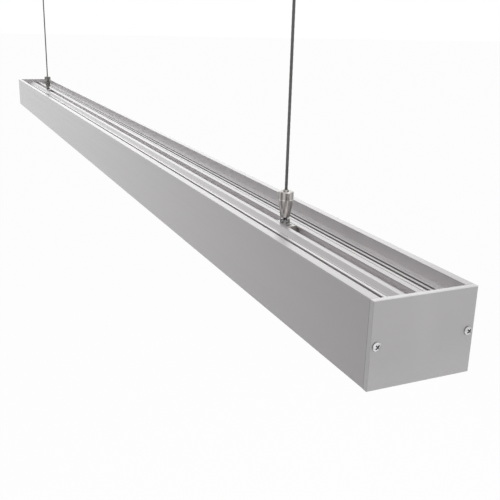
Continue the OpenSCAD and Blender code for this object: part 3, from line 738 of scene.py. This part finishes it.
class PENDANT_OT_cap_screws(bpy.types.Operator):
    """Models the two cross-head screws in each end cap"""
    bl_idname = "pendant.cap_screws"
    bl_label = "Cap screws"

    def execute(self, context):
        head_height = 1.3 * MM
        head_diameter = 4.6 * MM
        shank = 1.45 * MM
        for side, outwards in zip(SIDES, (1, -1)):
            node = side + "_cap_screws"
            low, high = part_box(node)
            seat = high.x - head_height if outwards > 0 else low.x + head_height
            length = high.x - low.x - head_height
            across = high.y - head_diameter / 2
            bm = bmesh.new()
            for place in (-across, across):
                facing = Matrix.Translation((seat, place, middle(node).z)) \
                    @ Matrix.Rotation(outwards * math.pi / 2, 4, "Y")
                screw = cross_head(head_diameter, head_height)
                turned(screw, [(0, -length), (shank * 0.6, -length), (shank, -length + shank),
                               (shank, 0.05 * MM), (0, 0.05 * MM)], steps=24)
                bmesh.ops.recalc_face_normals(screw, faces=screw.faces)
                screw.transform(facing)
                mesh = meshed("screw", screw)
                bm.from_mesh(mesh)
                bpy.data.meshes.remove(mesh)
            show(node + "_turned", bm, node, bright_screw())
        return {"FINISHED"}


class PENDANT_OT_diffuser(bpy.types.Operator):
    """Rounds the edges of the diffuser and gives it its opal finish"""
    bl_idname = "pendant.diffuser"
    bl_label = "Diffuser"

    def execute(self, context):
        show_rounded("diffuser", opal(), context.scene.pendant_body.inner_round)
        return {"FINISHED"}


# Wire hangers


class PENDANT_OT_wires(bpy.types.Operator):
    """Lays the twisted strands of the two suspension wires"""
    bl_idname = "pendant.wires"
    bl_label = "Suspension wires"

    def execute(self, context):
        settings = context.scene.pendant_hangers
        strands = settings.wire_strands
        steps_per_turn, sides = 12, 6
        for side in SIDES:
            node = side + "_wire"
            low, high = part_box(node)
            axis = middle(node)
            diameter = high.y - low.y
            length = high.z - low.z
            strand_r = diameter / 6 * 1.03
            offset = diameter / 2 - strand_r
            turns = length / settings.wire_lay
            start = Vector((axis.x, axis.y, high.z))
            bm = bmesh.new()
            core = bmesh.ops.create_circle(bm, cap_ends=False, radius=offset * 0.6, segments=sides)
            bmesh.ops.translate(bm, vec=start, verts=core["verts"])
            made = bmesh.ops.extrude_edge_only(bm, edges=bm.edges[:])["geom"]
            lower = [item for item in made if isinstance(item, bmesh.types.BMVert)]
            bmesh.ops.translate(bm, vec=(0, 0, -length), verts=lower)
            bmesh.ops.holes_fill(bm, edges=bm.edges, sides=0)
            for strand in range(strands):
                wound_round(
                    bm, start, strand_r, offset, turns, length,
                    round(turns * steps_per_turn), sides, math.tau * strand / strands)
            bmesh.ops.recalc_face_normals(bm, faces=bm.faces)
            wire = show(node + "_strands", bm, node, wire_rope(), crease=60)
            ball = self.ball(side + "_wire_ball", settings.edge_round)
            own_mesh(wire)
        return {"FINISHED"}

    def ball(self, node, rounding):
        """The ball and the ferrule above it, pressed on the wire's upper end."""
        ball, ferrule, bore, ferrule_top, bore_top = 2.6, 1.7, 1.05, 5, 2.8
        start = -math.degrees(math.acos(bore / ball))
        end = math.degrees(math.acos(ferrule / ball))
        outline = [(0, bore_top), (bore, bore_top), *arc(0, ball, start, end, 24),
                   (ferrule, ferrule_top), (0, ferrule_top)]
        centre = middle(node)
        place = Vector((centre.x, centre.y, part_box(node)[1].z - ferrule_top * MM))
        return show_node(node, lathe(outline, place, rounding), nickel())


class PENDANT_OT_grippers(bpy.types.Operator):
    """Turns the cable grippers, with their plungers, springs and clamping balls"""
    bl_idname = "pendant.grippers"
    bl_label = "Cable grippers"
    ball_level = 4.6 * MM
    ball_turns = (0, 120, 240)

    def execute(self, context):
        settings = context.scene.pendant_hangers
        for side in SIDES:
            centre = middle(side + "_gripper_body")
            top = Vector((centre.x, centre.y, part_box(side + "_gripper_body")[1].z))
            self.body(side, top, settings.edge_round)
            self.plunger(side, top, settings.edge_round / 2)
            self.clamp_balls(side, top)
            self.spring(side)
        return {"FINISHED"}

    def body(self, side, top, rounding):
        """Straight above, tapered to its foot, with the stepped bore, the side exit for the
        wire and the hole for the stud."""
        outline = [
            (0, -14.3), (1.3, -14.3), (1.3, -11.5), (2.65, -11.5), (2.65, -7), (3.15, -6.5),
            (2.4, -2.2), (1.83, -2.2), (1.83, 0), (4.5, 0), (5, -0.5), (5, -5.5), (3.1, -16.7),
            (2.8, -17), (1.55, -17), (1.55, -14.9), (0, -14.9)]
        exit_radius, exit_length, exit_level = 1.2 * MM, 10 * MM, 12.4 * MM
        exit_slope = Matrix.Rotation(math.radians(-120), 4, "X")
        start = Matrix.Translation(top - Vector((0, 0, exit_level)))
        bm = carved(lathe(outline, top, rounding),
                    drill(exit_radius, exit_length, start @ exit_slope))
        show_node(side + "_gripper_body", bm, nickel(side))

    def plunger(self, side, top, rounding):
        """The release stem and the cage with its three holes for the clamping balls."""
        outline = [(1.1, -6.8), (2.2, -6.8), (2.2, -2.25), (1.75, -2.25), (1.75, 0.8),
                   (1.55, 1), (1.1, 1), (1.1, -6.8)]
        hole_radius, hole_length = 0.93 * MM, 4 * MM
        start = Matrix.Translation(top - Vector((0, 0, self.ball_level)))
        bm = lathe(outline, top, rounding)
        for turn in self.ball_turns:
            outwards = Matrix.Rotation(math.radians(turn), 4, "Z") \
                @ Matrix.Rotation(math.radians(90), 4, "Y")
            bm = carved(bm, drill(hole_radius, hole_length, start @ outwards))
        show_node(side + "_plunger", bm, nickel())

    def clamp_balls(self, side, top):
        radius, off_axis = 0.85 * MM, 1.9 * MM
        bm = bmesh.new()
        for turn in self.ball_turns:
            place = Matrix.Rotation(math.radians(turn), 3, "Z") \
                @ Vector((off_axis, 0, -self.ball_level))
            bmesh.ops.create_uvsphere(
                bm, u_segments=24, v_segments=16, radius=radius,
                matrix=Matrix.Translation(top + place))
        show_node(side + "_clamp_balls", bm, plain_finish("spring_steel"), crease=30)

    def spring(self, side):
        node = side + "_plunger_spring"
        spring_wire = 0.2 * MM
        coils, steps_per_coil, sides = 6, 24, 10
        low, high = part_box(node)
        axis = middle(node)
        height = high.z - low.z - 2 * spring_wire
        bm = bmesh.new()
        wound_round(
            bm, Vector((axis.x, axis.y, high.z - spring_wire)), spring_wire,
            (high.x - low.x) / 2 - spring_wire, coils, height, coils * steps_per_coil, sides)
        bmesh.ops.recalc_face_normals(bm, faces=bm.faces)
        spring = show_node(node, bm, plain_finish("spring_steel"), crease=60)
        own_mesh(spring)


class PENDANT_OT_slot_fixings(bpy.types.Operator):
    """Finishes the slot nuts, grub screws, threaded studs and lock nuts"""
    bl_idname = "pendant.slot_fixings"
    bl_label = "Slot fixings"

    def execute(self, context):
        settings = context.scene.pendant_hangers
        for side in SIDES:
            show_rounded(side + "_slot_nut", nickel_plate(), settings.edge_round, crease=25)
            self.grub_screw(side, settings)
            self.lock_nut(side, settings)
            self.stud(side, settings)
        return {"FINISHED"}

    def foot(self, node):
        """The middle of the node's lower end, its radius and its height."""
        low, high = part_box(node)
        centre = middle(node)
        return Vector((centre.x, centre.y, low.z)), (high.y - low.y) / 2, high.z - low.z

    def rod(self, node, settings):
        """A threaded bar where the node stands, the middle of its foot, and its height."""
        place, radius, height = self.foot(node)
        radius, tall, pitch = radius / MM, height / MM, settings.thread_pitch / MM
        root = radius - 0.6 * pitch
        crest = (0.45, 0.55)
        outline = [(0, 0), (root, 0)]
        for i in range(math.floor(tall / pitch)):
            outline += [(radius, (i + share) * pitch) for share in crest]
            outline.append((root, (i + 1) * pitch))
        outline += [(root, tall), (0, tall)]
        return lathe(outline, place, steps=48), place, height

    def grub_screw(self, side, settings):
        """A threaded screw without a head, with a hexagon socket in its upper end."""
        node = side + "_grub_screw"
        bm, place, height = self.rod(node, settings)
        socket_radius, socket_depth = 0.85 * MM, 1.5 * MM
        socket_floor = Matrix.Translation(place + Vector((0, 0, height - socket_depth)))
        bm = carved(bm, drill(socket_radius, 2 * socket_depth, socket_floor, sides=6))
        show_node(node, bm, plain_finish("dark_steel"), crease=40)

    def lock_nut(self, side, settings):
        """A hexagon nut, chamfered at both ends, round its threaded hole."""
        node = side + "_lock_nut"
        place, flats, height = self.foot(node)
        corner, tall = flats / MM / math.cos(math.radians(30)), height / MM
        hole, end, widest, chamfer = 1.55, corner - 0.42, corner + 0.1, 0.3
        outline = [(hole, 0), (end, 0), (widest, chamfer), (widest, tall - chamfer),
                   (end, tall), (hole, tall), (hole, 0)]
        prism = drill(corner * MM, height * 3, Matrix.Translation(
            place - Vector((0, 0, height))), sides=6)
        bmesh.ops.rotate(prism, cent=place, matrix=Matrix.Rotation(math.radians(30), 3, "Z"),
                         verts=prism.verts)
        round_edges(prism, settings.edge_round / 2)
        nut = carved(lathe(outline, place), prism, "INTERSECT")
        show_node(node, nut, bright_screw_painted_shade())

    def stud(self, side, settings):
        node = side + "_stud"
        show_node(node, self.rod(node, settings)[0], bright_screw_painted_shade(), crease=40)


class PENDANT_OT_ceiling_fittings(bpy.types.Operator):
    """Turns the bases and caps that hold the wires on the ceiling"""
    bl_idname = "pendant.ceiling_fittings"
    bl_label = "Ceiling fittings"

    def execute(self, context):
        rounding = context.scene.pendant_hangers.edge_round
        seat, seat_r, hole, inner_floor = -16.8, 2.65, 1.65, -18.4
        seat_arc = arc(seat, seat_r, -math.degrees(math.acos(hole / seat_r)),
                       math.degrees(math.asin((inner_floor - seat) / seat_r)), 8)
        cap = [(hole, -19.2), *seat_arc, (4, inner_floor), (7.05, -13), (7.05, -0.4),
               (8.6, -0.4), (9, -0.8), (9, -14.5), (5, -21.1), (4.6, -21.5), (2.25, -21.5),
               (hole, -19.2)]
        base = [(2.25, 0), (7, 0), (7, -8.4), (6.4, -9), (4.45, -9), (2.25, -6.8), (2.25, 0)]
        for side in SIDES:
            for node, outline in ((side + "_ceiling_cap", cap), (side + "_ceiling_base", base)):
                centre = middle(node)
                place = Vector((centre.x, centre.y, 0))
                show_node(node, lathe(outline, place, rounding), nickel())
        return {"FINISHED"}


# Light engine


def laid_leads(node, routes, material, radius):
    """Round leads, each on one smooth curve through its route, which stand for the node."""
    curve = bpy.data.curves.new(node, "CURVE")
    curve.dimensions = "3D"
    curve.bevel_depth = radius
    curve.bevel_resolution = 4
    curve.use_fill_caps = True
    for route in routes:
        spline = curve.splines.new("BEZIER")
        spline.bezier_points.add(len(route) - 1)
        for point, place in zip(spline.bezier_points, route):
            point.co = [value * MM for value in place]
        for point in spline.bezier_points:
            point.handle_left_type = "AUTO"
            point.handle_right_type = "AUTO"
        spline.resolution_u = 10
    holder = placed(node, curve)
    bm = bmesh.new()
    finished = holder.evaluated_get(bpy.context.evaluated_depsgraph_get())
    bm.from_mesh(finished.to_mesh())
    finished.to_mesh_clear()
    bpy.data.objects.remove(holder)
    bpy.data.curves.remove(curve)
    bmesh.ops.remove_doubles(bm, verts=bm.verts, dist=WELD)
    bmesh.ops.recalc_face_normals(bm, faces=bm.faces)
    show_node(node, bm, material, crease=60)


class PENDANT_OT_light_engine(bpy.types.Operator):
    """Finishes the LED tray, boards, driver and terminals inside the light"""
    bl_idname = "pendant.light_engine"
    bl_label = "Light engine"

    def execute(self, context):
        finishes = {
            "led_tray": tray_white(), "led_boards": plain_finish("board_white"),
            "led_chips": led_phosphor(), "driver_case": plain_finish("driver_plastic"),
            "driver_cover": plain_finish("driver_plastic"), "driver_board": circuit_green(),
            "terminal_block": plain_finish("terminal_plastic"),
            "earth_screw": plain_finish("brass_screw"),
        }
        for node in ("board_screws", "driver_screws", "terminal_screws", "earth_tag"):
            finishes[node] = bright_screw()
        for node, material in finishes.items():
            dress(node, material)
        lip_round = 0.3 * MM
        show_rounded("cable_grommet", plain_finish("grommet_rubber"), lip_round, crease=32)
        return {"FINISHED"}


class PENDANT_OT_leads(bpy.types.Operator):
    """Lays the insulated leads between the terminals, the driver and the LED boards"""
    bl_idname = "pendant.leads"
    bl_label = "Leads"

    def execute(self, context):
        radius = context.scene.pendant_inside.lead_diameter / 2
        supply, led = [], []
        for pole in (-1, 1):
            supply.append([
                (x, pole * 7.5, z) for x, z in (
                    (-549.5, -199.1), (-540, -199.1), (-528, -197.6), (-502, -197.6),
                    (-484, -199.1), (-475, -199.1))])
            led.append([
                (-245, pole * 3, -199.1), (-235, pole * 3, -199.1), (-218, pole * 2.4, -199.73),
                (-211, pole * 2, -201.48), (-207.2, pole * 2, -204.7), (-206, pole * 2, -206.3),
                (-206, pole * 2, -208.5)])
        earth = [(-549.5, 0, -199.1), (-540, 0, -199.1), (-537, -3.2, -200.1),
                 (-536, -14.4, -203.2), (-531, -16, -204.7), (-525, -16, -204.7)]
        laid_leads("supply_leads", supply, lead_cover("lead_brown", srgb(112, 66, 40)), radius)
        laid_leads("earth_lead", [earth], lead_cover("lead_green", srgb(128, 164, 44)), radius)
        laid_leads("led_leads", led, lead_cover("lead_red", srgb(170, 36, 30)), radius)
        return {"FINISHED"}


# Camera, light and floor


def area_lamp(name, place, target, size, watts):
    lamp = bpy.data.lights.new(name, "AREA")
    lamp.shape = "RECTANGLE"
    lamp.size, lamp.size_y = size
    lamp.energy = watts
    holder = placed(name, lamp)
    holder.location = place
    holder.rotation_euler = (Vector(target) - Vector(place)).to_track_quat("-Z", "Y").to_euler()
    holder.visible_camera = False
    holder.visible_glossy = name in MIRRORED


def background_rays(tree):
    """1 for rays that see the background itself: from the camera, gloss or clear parts."""
    path = wired(tree, "LightPath", {}, None)
    seen = path["Is Camera Ray"]
    for other in ("Is Glossy Ray", "Is Transmission Ray"):
        seen = wired(tree, "Math", {0: seen, 1: path[other]}, operation="MAXIMUM")
    return seen


class PENDANT_OT_stage(bpy.types.Operator):
    """Sets the camera, the pale floor, the white surroundings and the soft lamps"""
    bl_idname = "pendant.stage"
    bl_label = "Stage"

    def execute(self, context):
        settings = context.scene.pendant_stage
        self.camera(settings)
        self.floor(settings)
        self.surroundings(settings)
        for lamp in LAMPS:
            area_lamp(*lamp)
        return {"FINISHED"}

    def camera(self, settings):
        data = bpy.data.cameras.new("Camera")
        data.lens = settings.lens
        data.sensor_width = 36
        camera = placed("Camera", data)
        turn = Matrix.Rotation(settings.heading - math.pi / 2, 4, "Z") \
            @ Matrix.Rotation(math.pi / 2 + settings.pitch, 4, "X") \
            @ Matrix.Rotation(settings.roll, 4, "Z")
        camera.matrix_world = Matrix.Translation(settings.place) @ turn
        bpy.context.scene.camera = camera

    def floor(self, settings):
        bm = bmesh.new()
        bmesh.ops.create_grid(bm, x_segments=1, y_segments=1, size=60)
        bmesh.ops.translate(bm, vec=(0, 0, settings.floor_level), verts=bm.verts)
        mesh = meshed("floor", bm)
        material = bpy.data.materials.new("pale_floor")
        material.use_nodes = True
        material.cycles.emission_sampling = "NONE"
        tree = material.node_tree
        tree.nodes.remove(tree.nodes["Principled BSDF"])
        brightness = 0.97
        paint = wired(tree, "BsdfDiffuse", {"Color": (*settings.floor_colour, 1)})
        glow = wired(tree, "Emission", {})
        share = wired(
            tree, "Math", {0: background_rays(tree), 1: brightness}, operation="MULTIPLY")
        mix = wired(tree, "MixShader", {"Fac": share, 1: paint, 2: glow})
        tree.links.new(mix, tree.nodes["Material Output"].inputs["Surface"])
        mesh.materials.append(material)
        placed("floor", mesh)

    def surroundings(self, settings):
        world = bpy.data.worlds.new("Studio")
        world.use_nodes = True
        world.cycles.sampling_method = "NONE"
        bpy.context.scene.world = world
        tree = world.node_tree
        tree.nodes.remove(tree.nodes["Background"])
        white = (1, 1, 1, 1)
        gathering = 6
        up = wired(tree, "TexCoord", {}, "Generated")
        up = wired(tree, "SeparateXYZ", {0: up}, "Z")
        up = wired(tree, "Math", {0: up, 1: 0}, operation="MAXIMUM")
        zenith = wired(tree, "Math", {0: up, 1: gathering}, operation="POWER")
        strength = wired(tree, "Math", {0: zenith, 1: settings.skylight, 2: settings.ambient},
                         operation="MULTIPLY_ADD")
        lit = wired(tree, "Background", {"Color": white, "Strength": strength})
        seen = wired(tree, "Background", {"Color": white})
        mix = wired(tree, "MixShader", {"Fac": background_rays(tree), 1: lit, 2: seen})
        tree.links.new(mix, tree.nodes["World Output"].inputs["Surface"])


class PENDANT_PT_panel(bpy.types.Panel):
    bl_idname = "PENDANT_PT_panel"
    bl_label = "Linear pendant light"
    bl_space_type = "VIEW_3D"
    bl_region_type = "UI"
    bl_category = "Pendant"

    def draw(self, context):
        for group in SETTINGS:
            settings = getattr(context.scene, group)
            for name in settings.__annotations__:
                self.layout.prop(settings, name)
        for operator in OPERATORS:
            self.layout.operator(operator.bl_idname)


SETTINGS = {
    "pendant_body": PendantBodySettings,
    "pendant_hangers": PendantHangerSettings,
    "pendant_inside": PendantInsideSettings,
    "pendant_stage": PendantStageSettings,
}
OPERATORS = (
    PENDANT_OT_stage, PENDANT_OT_wires, PENDANT_OT_extrusion, PENDANT_OT_end_caps,
    PENDANT_OT_cap_screws, PENDANT_OT_diffuser, PENDANT_OT_grippers,
    PENDANT_OT_slot_fixings, PENDANT_OT_ceiling_fittings, PENDANT_OT_light_engine,
    PENDANT_OT_leads,
)


def register():
    for cls in (*SETTINGS.values(), *OPERATORS, PENDANT_PT_panel):
        bpy.utils.register_class(cls)
    for group, cls in SETTINGS.items():
        setattr(bpy.types.Scene, group, PointerProperty(type=cls))


def unregister():
    for group in SETTINGS:
        delattr(bpy.types.Scene, group)
    for cls in (*SETTINGS.values(), *OPERATORS, PENDANT_PT_panel):
        bpy.utils.unregister_class(cls)


def main():
    register()
    bpy.context.scene.view_settings.view_transform = "Standard"
    for operator in OPERATORS:
        category, action = operator.bl_idname.split(".")
        getattr(getattr(bpy.ops, category), action)()


if __name__ == "__main__":
    main()
